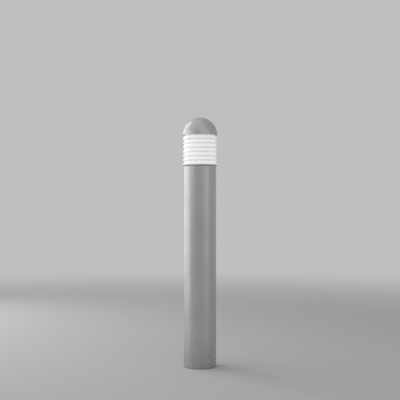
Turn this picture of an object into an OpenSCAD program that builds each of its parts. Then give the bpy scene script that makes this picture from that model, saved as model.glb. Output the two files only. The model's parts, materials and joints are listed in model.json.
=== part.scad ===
// Bollard light: a round aluminium post under a ribbed opal glass and a domed cap.
// The post stands over a cast base flange. A cast carrier cup drops into the top of the post,
// and three tie rods pull the cap down on the glass and both gaskets.
// Millimetres, +Z up. The origin is the centre of the base on the ground, and the front faces -Y.

/* [Overall] */
// Height from the ground to the top of the cap
total_h = 1000; // [850:10:1200]
// How far the cap and the flared ring under the glass stand out past the post
head_overhang = 5; // [4:0.5:8]

/* [Post] */
// Outer diameter of the post tube
post_d = 130; // [128:1:134]
// Wall of the post tube
post_wall = 3; // [2.5:0.5:4]

/* [Cap] */
// Straight band below the dome of the cap
cap_band_h = 1.5; // [1:0.5:8]
// Wall of the cap
cap_wall = 3.5; // [2.5:0.5:4]
// Thickness of the seat ring that the upper gasket bears on
cap_seat_t = 5; // [3:0.5:8]
// Diameter of the bosses that take the tie rods
rod_boss_d = 14; // [11:0.5:16]

/* [Glass] */
// Number of ribs
rib_count = 7; // [5:1:9]
// Height of one rib
rib_pitch = 17; // [15:0.5:20]
// How far a rib stands out at its lower edge
rib_depth = 9.5; // [6:0.5:10]
// How far the rib tips stand back from the edge of the cap
rib_inset = 0.5; // [0.2:0.1:2]
// Radius of the fire-polished rib tips
rib_tip_r = 0.8; // [0.4:0.1:1.5]
// Wall of the glass between the ribs
glass_wall = 5; // [4:0.5:5.5]
// Height of the neck that stands up inside the cap
neck_h = 8; // [5:0.5:12]

/* [Seals] */
// Thickness of the silicone gaskets below and above the glass
gasket_t = 3; // [2:0.5:4]
// Width of the lower gasket
gasket_w = 4.5; // [3:0.5:5]
// Open joint between the flared ring and the lowest rib
glass_joint = 0.5; // [0.3:0.1:1]
// Cord diameter of the ring that seals the carrier in the post
o_ring_d = 2.5; // [2:0.1:3]

/* [Carrier] */
// Height of the flared ring between the post and the glass
ring_h = 6; // [4:0.5:7]
// Straight edge at the top of the flared ring
ring_edge_h = 1; // [0.5:0.25:2]
// Depth of the carrier cup inside the post
carrier_depth = 43; // [40:1:60]
// Wall of the carrier cup
carrier_wall = 4; // [3:0.5:4.5]
// Floor of the carrier cup
carrier_floor = 4; // [3:0.5:6]
// Depth below the top of the post where the two head screws sit
head_screw_drop = 23; // [15:1:28]
// Thread diameter of the head screws
head_screw_d = 5; // [4:0.5:6]

/* [Tie rods] */
// Thread diameter of the tie rods
rod_d = 6; // [5:0.5:7]
// Clear space between a tie rod and the bore of the glass
rod_gap = 5.5; // [4:0.5:8]
// Length of rod screwed into the cap
rod_bite = 12; // [8:1:16]
// Length of rod below the carrier floor
rod_tail = 12; // [10:1:16]

/* [Lamp] */
// Diameter of the lamp globe
globe_d = 60; // [50:1:68]
// Length of the lamp with its screw base
lamp_h = 104; // [98:1:112]
// Diameter of the screw base of the lamp
lamp_base_d = 26; // [24:0.5:27]
// Outer diameter of the lamp holder
holder_d = 41; // [38:1:44]
// Height of the lamp holder
holder_h = 44; // [42:1:48]
// Height of the bracket under the lamp holder
bracket_h = 12; // [10:1:18]

/* [Cable gland] */
// Diameter of the lead that the gland and its seal take
lead_d = 7; // [6:0.5:7.5]
// Thread diameter of the cable gland
gland_d = 16; // [14:1:18]
// Distance of the gland from the axis of the post
gland_off = 34; // [32:0.5:36]
// Diameter of the cores that the holder and the terminals take
core_d = 2.4; // [2:0.1:2.5]

/* [Terminal plate] */
// Width of the sheet steel plate that carries the terminals
plate_w = 60; // [56:1:64]
// Height of the plate
plate_h = 90; // [80:1:140]
// Sheet thickness of the plate and of the lamp bracket
sheet_t = 1.5; // [1:0.1:2]
// Inner radius of the folds in sheet steel
fold_r = 1.5; // [1:0.25:2]
// Distance between two poles of the terminal block
pole_pitch = 10; // [9:0.5:12]

/* [Base flange] */
// Height of the foot that shows as a shadow gap under the post
foot_h = 3; // [2:0.5:6]
// How far the foot stands back from the face of the post
foot_inset = 1.5; // [0.5:0.5:2]
// Height of the spigot inside the post
spigot_h = 68; // [64:1:90]
// Wall of the spigot
spigot_wall = 5; // [4:0.5:6]
// Floor of the flange
flange_floor = 8; // [7:0.5:10]
// Diameter of the cable hole
cable_hole_d = 40; // [30:1:42]
// Diameter of the three anchor holes
anchor_hole_d = 10.5; // [8:0.5:12]
// Diameter of the circle of anchor holes
anchor_circle_d = 84; // [82:1:86]
// Height of the lower, countersunk screws above the ground
low_screw_z = 26; // [22:1:34]
// Height of the upper, recessed screws above the ground
high_screw_z = 52; // [44:1:56]
// Thread diameter of the lower screws
low_screw_d = 5; // [4:0.5:5]
// Thread diameter of the upper screws
high_screw_d = 6; // [5:0.5:8]
// Direction of the visible pair of screws, in degrees to the right of the front
screw_azimuth = 33; // [0:1:60]

/* [Hidden] */
$fn = 96;
front = -90;
over = 2; // how far a cut runs past the face it starts from
slip = 0.3; // sliding clearance between two castings, or a casting and the tube
thread_gap = 0.1; // clearance left between a thread and its hole
hole_gap = 0.4; // clearance of a screw or a rod in a plain hole

// Radii and heights of the post and the head
post_r = post_d / 2;
post_in_r = post_r - post_wall;
head_r = post_r + head_overhang;
dome_z = total_h - head_r;
cap_rim_z = dome_z - cap_band_h;
glass_z = cap_rim_z - rib_count * rib_pitch;
rib_r = head_r - rib_inset;
root_r = rib_r - rib_depth;
glass_in_r = root_r - glass_wall;
neck_top_z = cap_rim_z + neck_h;
cap_seat_z = neck_top_z + gasket_t;
ring_top_z = glass_z - glass_joint;
post_top_z = ring_top_z - ring_h;
land_z = glass_z - gasket_t;
carrier_z = post_top_z - carrier_depth;
carrier_deck_z = carrier_z + carrier_floor;
cup_r = post_in_r - slip;
cup_in_r = cup_r - carrier_wall;
gasket_in_r = max(cup_in_r, glass_in_r) + slip;
o_ring_z = post_top_z - 8;
o_ring_side = 0.4; // room beside the ring in its groove
head_screw_z = post_top_z - head_screw_drop;
head_boss_d = head_screw_d + 7;
head_boss_len = 6;

// Tie rods
rod_r = min(glass_in_r, cup_in_r) - rod_gap - rod_d / 2;
rod_turn = 30;
rod_top_z = cap_seat_z + rod_bite;
rod_hole_end = 2;
seal_washer_d = 15;
seal_washer_t = 2.5;
rod_nut_h = 5;

// Edges of the castings, the tube and the glass
casting_fillet = 3;
casting_round = 0.8;
lead_in = 1; // chamfer that guides a casting into the tube
tube_chamfer = 0.5;
glass_round = 1;

// Base flange
foot_r = post_r - foot_inset;
spigot_r = post_in_r - slip;
spigot_in_r = spigot_r - spigot_wall;
screw_turn = front + screw_azimuth;
anchor_turn = screw_turn + 60;
anchor_r = anchor_circle_d / 2;
anchor_boss_d = anchor_hole_d + 9;
anchor_boss_h = flange_floor + 4;
collar_r = cable_hole_d / 2 + 4;
collar_h = flange_floor + 6;
pad_w = 14;
pad_depth = 7;
gusset_t = 5;
gusset_h = low_screw_z - low_screw_d; // the web stays clear of the lower screw
relief_h = 1.5;
relief_in_r = collar_r + 2;
relief_out_r = spigot_in_r - 4;
low_head_d = 2 * low_screw_d - 0.8;
low_head_raise = 1;
high_recess = 1.5;
earth_turn = screw_turn + 150;
earth_boss_d = 13;
earth_r = spigot_in_r - earth_boss_d / 2 - 8;
earth_boss_h = flange_floor + 3;
earth_d = 6;
earth_len = 30;
earth_bite = 7;
earth_nut_h = 5;
earth_washer_t = 1.2;

// Lamp, holder and bracket
bracket_w = 24;
bracket_leg_x = 22;
foot_len = 13;
foot_screw_x = bracket_leg_x + foot_len / 2;
foot_screw_d = 4;
bracket_top_z = carrier_deck_z + bracket_h;
holder_hole_d = 12;
holder_base_h = 14;
holder_screw_x = 12;
holder_screw_d = 3;
shell_t = 0.6;
holder_bore_r = lamp_base_d / 2 + thread_gap + shell_t + thread_gap;
contact_h = 2;
lamp_base_h = 26;
lamp_z = bracket_top_z + holder_base_h + contact_h;
core_entry_z = bracket_top_z + 8;
core_x = core_d / 2 + 1;
screw_end = 0.5; // how far the screws in the carrier floor stop short of its other face

// Gland
gland_hex = gland_d + 4;
gland_flange_h = 4;
gland_stud_h = carrier_floor + 7;
gland_tail_h = 12;
gland_seal_h = 9;
gland_nut_h = 5;
dome_nut_h = 15;
seal_wall = 2.3;

// Terminal plate
plate_y = gland_off - 16;
plate_top_z = carrier_z;
plate_corner_r = 4;
tab_w = plate_w - 16;
tab_len = 22;
tab_screw_x = 16;
tab_screw_y = plate_y + sheet_t - tab_len / 2;
tab_screw_d = 4;
block_h = 22;
block_depth = 20;
block_w = 3 * pole_pitch + 4;
block_z = plate_top_z - plate_h + 12; // 12 mm above the lower edge of the plate
block_wall_y = plate_y + sheet_t;
block_ear = 8;
block_ear_t = 4;
block_screw_d = 3;
entry_y = block_wall_y + block_depth * 0.6;
wire_hole_depth = 7;
pole_screw_d = 4;
pole_screw_sink = 3;

// Copies spaced evenly round the post
module around(count, turn) {
    for (k = [0 : count - 1])
        rotate([0, 0, turn + k * 360 / count])
            children();
}

// Places children at a height, with their +Z pointing outwards from the axis
module outwards(r, z) {
    translate([r, 0, z])
        rotate([0, 90, 0])
            children();
}

// A ring with a rectangular section
module ring(r_out, r_in, h) {
    difference() {
        cylinder(r = r_out, h = h);
        translate([0, 0, -over])
            cylinder(r = r_in, h = h + 2 * over);
    }
}

// A hexagonal prism of a given width across its flats
module hexagon(across, h) {
    cylinder(d = across / cos(30), h = h, $fn = 6);
}

// A hexagonal nut with its two faces turned down to a round
module nut(across, bore_d, h) {
    difference() {
        intersection() {
            hexagon(across, h);
            cylinder(r1 = across / 2 + h / 2, r2 = across / 2 + h / 2, h = h);
            translate([0, 0, -across / 4])
                cylinder(r1 = across / 2 + across / 2, r2 = across / 2, h = h + across / 4);
        }
        translate([0, 0, -over])
            cylinder(d = bore_d, h = h + 2 * over);
    }
}

// A headless screw that ends at z = 0 with its hexagon socket, and runs down
module set_screw(d, length, socket) {
    difference() {
        union() {
            translate([0, 0, -length + d / 4])
                cylinder(d = d, h = length - d / 4);
            translate([0, 0, -length])
                cylinder(r1 = d / 4, r2 = d / 2, h = d / 4);
        }
        translate([0, 0, -d / 2])
            hexagon(socket, d / 2 + over);
    }
}

// A round-headed screw whose head sits on z = 0 and whose thread runs down
module pan_screw(d, length) {
    head_r = d * 0.9;
    head_h = d * 0.6;
    difference() {
        union() {
            translate([0, 0, -length])
                cylinder(d = d, h = length);
            intersection() {
                cylinder(r = head_r, h = head_h);
                translate([0, 0, head_h - 2 * head_r])
                    sphere(r = 2 * head_r);
            }
        }
        translate([0, 0, head_h / 3])
            hexagon(d / 2, head_h);
    }
}

// A raised countersunk screw: the edge of its head is at z = 0, and the thread runs down
module countersunk_screw(d, length, head_d, raise) {
    head_h = (head_d - d) / 2;
    dome_r = (head_d * head_d / 4 + raise * raise) / (2 * raise);
    difference() {
        union() {
            translate([0, 0, -length])
                cylinder(d = d, h = length);
            translate([0, 0, -head_h])
                cylinder(r1 = d / 2, r2 = head_d / 2, h = head_h);
            intersection() {
                cylinder(d = head_d, h = raise);
                translate([0, 0, raise - dome_r])
                    sphere(r = dome_r);
            }
        }
        translate([0, 0, raise - d / 2])
            hexagon(d / 2, d);
    }
}

// The corner that a round takes off a section: the corner is at p, and the material lies in the
// quarter that q points to
module corner_cut(p, q, r) {
    translate(p)
        in_quarter(q)
            difference() {
                translate([-over, -over])
                    square(r + over);
                translate([r, r])
                    circle(r = r);
            }
}

// The fillet in an inner corner: the corner is at p, and the open quarter is the one q points to
module fillet(p, q, r) {
    translate(p)
        in_quarter(q)
            difference() {
                translate([-r / 2, -r / 2])
                    square(1.5 * r);
                translate([r, r])
                    circle(r = r);
            }
}

// Turns a section that is drawn in the first quarter into the quarter that q points to
module in_quarter(q) {
    mirror([q.x < 0 ? 1 : 0, 0])
        mirror([0, q.y < 0 ? 1 : 0])
            children();
}

// A quarter of a sheet fold round the origin, from +X to +Y
module fold() {
    intersection() {
        difference() {
            circle(r = fold_r + sheet_t);
            circle(r = fold_r);
        }
        square(fold_r + sheet_t);
    }
}

// A rectangle with round corners, centred on x = 0 and standing on y = 0
module rounded_panel(w, h, r) {
    translate([-w / 2, r])
        square([w, h - 2 * r]);
    translate([-w / 2 + r, 0])
        square([w - 2 * r, h]);
    for (x = [-w / 2 + r, w / 2 - r], y = [r, h - r])
        translate([x, y])
            circle(r = r);
}

// Where a line from p touches the circle round c, on the side given by 1 or -1
function touch_point(p, c, r, side) =
    let (d = p - c, turn = atan2(d.y, d.x) + side * acos(r / norm(d)))
    c + r * [cos(turn), sin(turn)];

// The aluminium casting that is bolted to the ground, with its spigot inside the post
module base_flange() {
    color("darkgray")
        difference() {
            union() {
                rotate_extrude()
                    flange_section();
                around(3, anchor_turn)
                    translate([anchor_r, 0, 0])
                        cylinder(d = anchor_boss_d, h = anchor_boss_h);
                around(3, screw_turn) {
                    translate([spigot_in_r - pad_depth, -pad_w / 2, 0])
                        cube([pad_depth + spigot_wall / 2, pad_w, spigot_h]);
                    flange_gusset();
                }
                rotate([0, 0, earth_turn])
                    translate([earth_r, 0, 0])
                        cylinder(d = earth_boss_d, h = earth_boss_h);
            }
            around(3, anchor_turn)
                translate([anchor_r, 0, -over])
                    cylinder(d = anchor_hole_d, h = anchor_boss_h + 2 * over);
            around(3, screw_turn) {
                outwards(spigot_in_r - pad_depth - over, low_screw_z)
                    cylinder(d = low_screw_d + 2 * thread_gap, h = pad_depth + spigot_wall + 2 * over);
                outwards(spigot_in_r - pad_depth - over, high_screw_z)
                    cylinder(d = high_screw_d + 2 * thread_gap, h = pad_depth + spigot_wall + 2 * over);
            }
            rotate([0, 0, earth_turn])
                translate([earth_r, 0, earth_boss_h - earth_bite])
                    cylinder(d = earth_d + 2 * thread_gap, h = earth_bite + over);
            flange_relief();
        }
}

// Half section of the flange: foot, floor, collar round the cable hole, and spigot
module flange_section() {
    difference() {
        union() {
            polygon([
                [cable_hole_d / 2, 0],
                [foot_r, 0],
                [foot_r, foot_h],
                [spigot_r, foot_h],
                [spigot_r, spigot_h - lead_in],
                [spigot_r - lead_in, spigot_h],
                [spigot_in_r, spigot_h],
                [spigot_in_r, flange_floor],
                [collar_r, flange_floor],
                [collar_r, collar_h],
                [cable_hole_d / 2, collar_h]
            ]);
            fillet([spigot_in_r, flange_floor], [-1, 1], casting_fillet);
            fillet([collar_r, flange_floor], [1, 1], casting_fillet);
        }
        corner_cut([collar_r, collar_h], [-1, -1], casting_round);
        corner_cut([cable_hole_d / 2, collar_h], [1, -1], casting_round);
    }
}

// The web from the cable collar up to a screw pad
module flange_gusset() {
    rotate([90, 0, 0])
        linear_extrude(height = gusset_t, center = true)
            polygon([
                [collar_r - 1, flange_floor - 1],
                [spigot_in_r - pad_depth + 1, flange_floor - 1],
                [spigot_in_r - pad_depth + 1, gusset_h],
                [collar_r - 1, collar_h - 1]
            ]);
}

// The hollow under the floor of the flange, which leaves the anchor bosses standing
module flange_relief() {
    difference() {
        translate([0, 0, -over])
            ring(relief_out_r, relief_in_r, relief_h + over);
        around(3, anchor_turn)
            translate([anchor_r, 0, -2 * over])
                cylinder(d = anchor_boss_d, h = relief_h + 4 * over);
    }
}

module base_countersunk_screws() {
    color("silver")
        around(3, screw_turn)
            outwards(post_r, low_screw_z)
                countersunk_screw(low_screw_d, post_r - spigot_in_r + pad_depth / 2, low_head_d, low_head_raise);
}

module base_recessed_screws() {
    color("gray")
        around(3, screw_turn)
            outwards(post_r - high_recess, high_screw_z)
                set_screw(high_screw_d, post_r - high_recess - spigot_in_r + pad_depth / 2, high_screw_d / 2);
}

module at_earth_stud(z) {
    rotate([0, 0, earth_turn])
        translate([earth_r, 0, z])
            children();
}

module earth_stud() {
    color("silver")
        at_earth_stud(earth_boss_h - earth_bite)
            cylinder(d = earth_d, h = earth_len);
}

module earth_washers() {
    color("silver")
        for (lift = [0, earth_washer_t + earth_nut_h])
            at_earth_stud(earth_boss_h + lift)
                ring(earth_d, earth_d / 2 + hole_gap / 2, earth_washer_t);
}

module earth_nuts() {
    color("silver")
        for (lift = [earth_washer_t, 2 * earth_washer_t + earth_nut_h])
            at_earth_stud(earth_boss_h + lift)
                nut(10, earth_d + 2 * thread_gap, earth_nut_h);
}

// The extruded tube, with the holes of the base screws and of the two head screws
module post_tube() {
    color("silver")
        difference() {
            rotate_extrude()
                tube_section();
            around(3, screw_turn) {
                outwards(post_in_r - over, low_screw_z)
                    cylinder(d = low_screw_d + hole_gap, h = post_wall + 2 * over);
                outwards(post_r - (low_head_d - low_screw_d) / 2, low_screw_z)
                    cylinder(
                        r1 = low_screw_d / 2 + hole_gap / 4,
                        r2 = low_head_d / 2 + over + hole_gap / 4,
                        h = (low_head_d - low_screw_d) / 2 + over
                    );
                outwards(post_in_r - over, high_screw_z)
                    cylinder(d = high_screw_d + 2 * hole_gap, h = post_wall + 2 * over);
            }
            around(2, 0)
                outwards(post_in_r - over, head_screw_z)
                    cylinder(d = head_screw_d + 2 * hole_gap, h = post_wall + 2 * over);
        }
}

// Section of the tube wall, with its cut ends broken
module tube_section() {
    polygon([
        [post_in_r, foot_h + tube_chamfer],
        [post_in_r + tube_chamfer, foot_h],
        [post_r - tube_chamfer, foot_h],
        [post_r, foot_h + tube_chamfer],
        [post_r, post_top_z],
        [post_in_r + tube_chamfer, post_top_z],
        [post_in_r, post_top_z - tube_chamfer]
    ]);
}

// The casting that hangs in the post: flared ring, cup, floor and bosses
module head_carrier() {
    color("silver")
        difference() {
            union() {
                rotate_extrude()
                    carrier_section();
                around(2, 0)
                    outwards(cup_in_r - head_boss_len, head_screw_z)
                        cylinder(d = head_boss_d, h = head_boss_len + carrier_wall / 2);
            }
            around(3, rod_turn)
                translate([rod_r, 0, carrier_z - over])
                    cylinder(d = rod_d + 2 * hole_gap, h = carrier_floor + 2 * over);
            translate([0, gland_off, carrier_z - over])
                cylinder(d = gland_d + hole_gap, h = carrier_floor + 2 * over);
            around(2, 0) {
                outwards(cup_in_r - head_boss_len - over, head_screw_z)
                    cylinder(d = head_screw_d + 2 * thread_gap, h = head_boss_len + carrier_wall + 2 * over);
                translate([foot_screw_x, 0, carrier_z - over])
                    cylinder(d = foot_screw_d + 2 * thread_gap, h = carrier_floor + 2 * over);
            }
            for (x = [-tab_screw_x, tab_screw_x])
                translate([x, tab_screw_y, carrier_z - over])
                    cylinder(d = tab_screw_d + 2 * thread_gap, h = carrier_floor + 2 * over);
        }
}

// Half section of the carrier: cup wall, floor, gasket land, and the ring flared out to the cap's width
module carrier_section() {
    pocket_r = gasket_in_r + gasket_w + slip;
    difference() {
        union() {
            polygon([
                [0, carrier_z],
                [cup_r - lead_in, carrier_z],
                [cup_r, carrier_z + lead_in],
                [cup_r, post_top_z],
                [post_r, post_top_z],
                [head_r, ring_top_z - ring_edge_h],
                [head_r, ring_top_z],
                [pocket_r, ring_top_z],
                [pocket_r, land_z],
                [cup_in_r, land_z],
                [cup_in_r, carrier_deck_z],
                [0, carrier_deck_z]
            ]);
            fillet([cup_in_r, carrier_deck_z], [-1, 1], casting_fillet);
        }
        corner_cut([head_r, ring_top_z], [-1, -1], ring_edge_h / 2);
        corner_cut([cup_in_r, land_z], [1, -1], casting_round);
        translate([cup_r - o_ring_d + slip, o_ring_z - o_ring_d / 2 - o_ring_side / 2])
            square([o_ring_d + over, o_ring_d + o_ring_side]);
    }
}

module carrier_seal_ring() {
    color("black")
        translate([0, 0, o_ring_z])
            rotate_extrude()
                translate([post_in_r - o_ring_d / 2, 0])
                    circle(d = o_ring_d);
}

module head_set_screws() {
    color("gray")
        around(2, 0)
            outwards(post_r - slip, head_screw_z)
                set_screw(head_screw_d, post_r - slip - cup_in_r + head_boss_len / 2, head_screw_d / 2);
}

module lower_gasket() {
    color("dimgray")
        translate([0, 0, land_z])
            ring(gasket_in_r + gasket_w, gasket_in_r, gasket_t);
}

module upper_gasket() {
    color("dimgray")
        translate([0, 0, neck_top_z])
            ring(root_r, glass_in_r, gasket_t);
}

// The pressed opal glass: a smooth bore, ribs like a stack of skirts, and a plain neck at the top
module glass_diffuser() {
    color("white")
        rotate_extrude()
            difference() {
                union() {
                    translate([glass_in_r, glass_z])
                        square([glass_wall, neck_top_z - glass_z]);
                    for (k = [0 : rib_count - 1])
                        translate([0, glass_z + k * rib_pitch])
                            rib_section();
                }
                corner_cut([glass_in_r, glass_z], [1, 1], glass_round);
                corner_cut([glass_in_r, neck_top_z], [1, -1], glass_round);
                corner_cut([root_r, neck_top_z], [-1, -1], glass_round);
            }
}

// One rib: a flat underside, a round tip and a face that slopes in to the root of the rib above
module rib_section() {
    tip = [rib_r - rib_tip_r, rib_tip_r];
    root = [root_r, rib_pitch];
    inside = root_r - glass_wall / 2;
    translate(tip)
        circle(r = rib_tip_r);
    polygon([
        [inside, 0],
        [tip.x, 0],
        tip,
        touch_point(root, tip, rib_tip_r, -1),
        root,
        [inside, rib_pitch]
    ]);
}

// The die-cast cap: a half sphere on a short band, a seat ring for the gasket and three bosses
module cap() {
    color("silver")
        difference() {
            union() {
                rotate_extrude()
                    cap_section();
                intersection() {
                    translate([0, 0, dome_z])
                        sphere(r = head_r - cap_wall / 2);
                    around(3, rod_turn)
                        translate([rod_r, 0, cap_seat_z])
                            cylinder(d = rod_boss_d, h = head_r);
                }
            }
            around(3, rod_turn)
                translate([rod_r, 0, cap_seat_z - over])
                    cylinder(d = rod_d + 2 * thread_gap, h = rod_bite + rod_hole_end + over);
        }
}

// Half section of the cap
module cap_section() {
    intersection() {
        difference() {
            union() {
                translate([0, dome_z])
                    circle(r = head_r);
                translate([0, cap_rim_z])
                    square([head_r, cap_band_h]);
            }
            difference() {
                union() {
                    translate([0, dome_z])
                        circle(r = head_r - cap_wall);
                    translate([-over, cap_rim_z - over])
                        square([head_r - cap_wall + over, dome_z - cap_rim_z + over]);
                }
                translate([glass_in_r, cap_seat_z])
                    square([head_r, cap_seat_t]);
            }
            corner_cut([head_r, cap_rim_z], [-1, 1], casting_round);
            corner_cut([head_r - cap_wall, cap_rim_z], [1, 1], casting_round);
        }
        translate([0, cap_rim_z])
            square([2 * head_r, 2 * head_r]);
    }
}

module tie_rods() {
    color("silver")
        around(3, rod_turn)
            translate([rod_r, 0, carrier_z - rod_tail])
                cylinder(d = rod_d, h = rod_top_z - carrier_z + rod_tail);
}

module tie_rod_seal_washers() {
    color("black")
        around(3, rod_turn)
            translate([rod_r, 0, carrier_z - seal_washer_t])
                ring(seal_washer_d / 2, rod_d / 2 + thread_gap, seal_washer_t);
}

module tie_rod_nuts() {
    color("silver")
        around(3, rod_turn)
            translate([rod_r, 0, carrier_z - seal_washer_t])
                mirror([0, 0, 1])
                    nut(rod_d + 4, rod_d + 2 * thread_gap, rod_nut_h);
}

// The folded sheet steel bridge that lifts the lamp holder off the floor of the carrier
module lamp_bracket() {
    color("silver")
        difference() {
            translate([0, bracket_w / 2, carrier_deck_z])
                rotate([90, 0, 0])
                    linear_extrude(height = bracket_w) {
                        bracket_half();
                        mirror([1, 0])
                            bracket_half();
                    }
            translate([0, 0, bracket_top_z - sheet_t - over])
                cylinder(d = holder_hole_d, h = sheet_t + 2 * over);
            around(2, 0) {
                translate([foot_screw_x, 0, carrier_deck_z - over])
                    cylinder(d = foot_screw_d + hole_gap, h = sheet_t + 2 * over);
                translate([holder_screw_x, 0, bracket_top_z - sheet_t - over])
                    cylinder(d = holder_screw_d + hole_gap, h = sheet_t + 2 * over);
            }
        }
}

// One side of the bridge seen from the front: top, leg and foot, joined by two folds
module bracket_half() {
    bend = fold_r + sheet_t;
    translate([0, bracket_h - sheet_t])
        square([bracket_leg_x - bend, sheet_t]);
    translate([bracket_leg_x - bend, bracket_h - bend])
        fold();
    translate([bracket_leg_x - sheet_t, bend])
        square([sheet_t, bracket_h - 2 * bend]);
    translate([bracket_leg_x + fold_r, bend])
        rotate(180)
            fold();
    translate([bracket_leg_x + fold_r, 0])
        square([foot_len - fold_r, sheet_t]);
}

module bracket_screws() {
    color("gray")
        around(2, 0)
            translate([foot_screw_x, 0, carrier_deck_z + sheet_t])
                pan_screw(foot_screw_d, sheet_t + carrier_floor - screw_end);
}

// The porcelain holder: a stepped body with a rounded lip, and two holes for the cores in its back
module lamp_holder() {
    color("ivory")
        translate([0, 0, bracket_top_z])
            difference() {
                rotate_extrude()
                    holder_section();
                around(2, 0)
                    translate([holder_screw_x, 0, -over])
                        cylinder(d = holder_screw_d + 2 * thread_gap, h = holder_base_h / 2 + over);
                for (x = [-core_x, core_x])
                    translate([x, 0, core_entry_z - bracket_top_z])
                        rotate([-90, 0, 0])
                            cylinder(d = core_d + hole_gap, h = holder_d);
            }
}

// Half section of the holder
module holder_section() {
    body_r = holder_d / 2;
    waist_r = (body_r + holder_bore_r) / 2 + 1;
    lip_r = (waist_r - holder_bore_r) / 2;
    difference() {
        union() {
            square([body_r, holder_base_h]);
            square([waist_r, holder_h - lip_r]);
            fillet([waist_r, holder_base_h], [1, 1], (body_r - waist_r) * 0.8);
            translate([waist_r - lip_r, holder_h - lip_r])
                circle(r = lip_r);
        }
        translate([-over, holder_base_h])
            square([holder_bore_r + over, holder_h]);
        corner_cut([body_r, 0], [-1, 1], casting_round);
    }
}

module lamp_holder_screws() {
    color("gray")
        around(2, 0)
            translate([holder_screw_x, 0, bracket_top_z - sheet_t])
                mirror([0, 0, 1])
                    pan_screw(holder_screw_d, sheet_t + holder_base_h / 2 - thread_gap);
}

module lamp_holder_shell() {
    color("gold")
        translate([0, 0, bracket_top_z + holder_base_h])
            ring(holder_bore_r - thread_gap, lamp_base_d / 2 + thread_gap, contact_h + lamp_base_h - 1);
}

module lamp_centre_contact() {
    color("gold")
        translate([0, 0, bracket_top_z + holder_base_h])
            cylinder(r = 4, h = contact_h);
}

// The lamp, a sealed opal bulb on a screw base
module lamp() {
    globe_r = globe_d / 2;
    base_r = lamp_base_d / 2;
    tip_h = 5;
    globe = [0, lamp_h - globe_r];
    collar = [base_r + 1, lamp_base_h + 6];
    shoulder = touch_point(collar, globe, globe_r, 1);
    color("ghostwhite")
        translate([0, 0, lamp_z])
            rotate_extrude()
                intersection() {
                    union() {
                        polygon([
                            [0, 0], [base_r / 3, 0], [base_r / 3, 1], [base_r, tip_h], [base_r, lamp_base_h],
                            collar, shoulder, [0, shoulder.y]
                        ]);
                        translate(globe)
                            circle(r = globe_r);
                    }
                    square([globe_d, lamp_h]);
                }
}

// The gland body: flange under the floor of the carrier, stud up through it, and a tail for the dome nut
module gland_body() {
    color("dimgray")
        translate([0, gland_off, 0])
            difference() {
                union() {
                    translate([0, 0, carrier_z - gland_flange_h])
                        hexagon(gland_hex, gland_flange_h);
                    translate([0, 0, carrier_z - gland_flange_h])
                        cylinder(d = gland_d, h = gland_flange_h + gland_stud_h);
                    translate([0, 0, carrier_z - gland_flange_h - gland_tail_h])
                        cylinder(d = gland_d, h = gland_tail_h + gland_flange_h);
                }
                translate([0, 0, carrier_z - gland_flange_h - gland_tail_h - over])
                    cylinder(d = lead_d + hole_gap, h = gland_tail_h + gland_flange_h + gland_stud_h + 2 * over);
                translate([0, 0, carrier_z - gland_flange_h - gland_tail_h - over])
                    cylinder(r = lead_d / 2 + seal_wall, h = gland_seal_h + over);
            }
}

module gland_lock_nut() {
    color("dimgray")
        translate([0, gland_off, carrier_deck_z])
            nut(gland_hex + 2, gland_d + 2 * thread_gap, gland_nut_h);
}

module gland_seal() {
    color("black")
        translate([0, gland_off, carrier_z - gland_flange_h - gland_tail_h])
            ring(lead_d / 2 + seal_wall, lead_d / 2, gland_seal_h);
}

// The nut that squeezes the seal round the lead: a hexagon with a rounded lower end
module gland_dome_nut() {
    top_z = carrier_z - gland_flange_h - 1;
    inner_h = gland_tail_h - 1;
    color("dimgray")
        translate([0, gland_off, top_z - dome_nut_h])
            difference() {
                intersection() {
                    hexagon(gland_hex, dome_nut_h);
                    translate([0, 0, gland_hex * 0.6])
                        sphere(r = gland_hex * 0.75);
                }
                translate([0, 0, dome_nut_h - inner_h])
                    cylinder(d = gland_d + 2 * thread_gap, h = inner_h + over);
                translate([0, 0, -over])
                    cylinder(d = lead_d + hole_gap, h = dome_nut_h + 2 * over);
            }
}

// The folded sheet steel plate that hangs below the carrier: a panel, a fold and a tab with two holes
module terminal_plate() {
    bend = fold_r + sheet_t;
    color("lightgray")
        difference() {
            union() {
                translate([0, plate_y + sheet_t, plate_top_z - plate_h])
                    rotate([90, 0, 0])
                        linear_extrude(height = sheet_t) {
                            rounded_panel(plate_w, plate_h - bend - 2, plate_corner_r);
                            translate([-tab_w / 2, plate_h / 2])
                                square([tab_w, plate_h / 2 - bend]);
                        }
                translate([-tab_w / 2, plate_y + sheet_t - bend, plate_top_z - bend])
                    rotate([90, 0, 90])
                        linear_extrude(height = tab_w)
                            fold();
                translate([-tab_w / 2, plate_y + sheet_t - tab_len, plate_top_z - sheet_t])
                    cube([tab_w, tab_len - bend, sheet_t]);
            }
            for (x = [-tab_screw_x, tab_screw_x])
                translate([x, tab_screw_y, plate_top_z - sheet_t - over])
                    cylinder(d = tab_screw_d + hole_gap, h = sheet_t + 2 * over);
            for (x = [-1, 1])
                translate([x * (block_w / 2 + block_ear / 2), plate_y - over, block_z + block_h / 2])
                    rotate([-90, 0, 0])
                        cylinder(d = block_screw_d + 2 * thread_gap, h = sheet_t + 2 * over);
        }
}

module terminal_plate_screws() {
    color("gray")
        for (x = [-tab_screw_x, tab_screw_x])
            translate([x, tab_screw_y, plate_top_z - sheet_t])
                mirror([0, 0, 1])
                    pan_screw(tab_screw_d, sheet_t + carrier_floor - screw_end);
}

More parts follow.
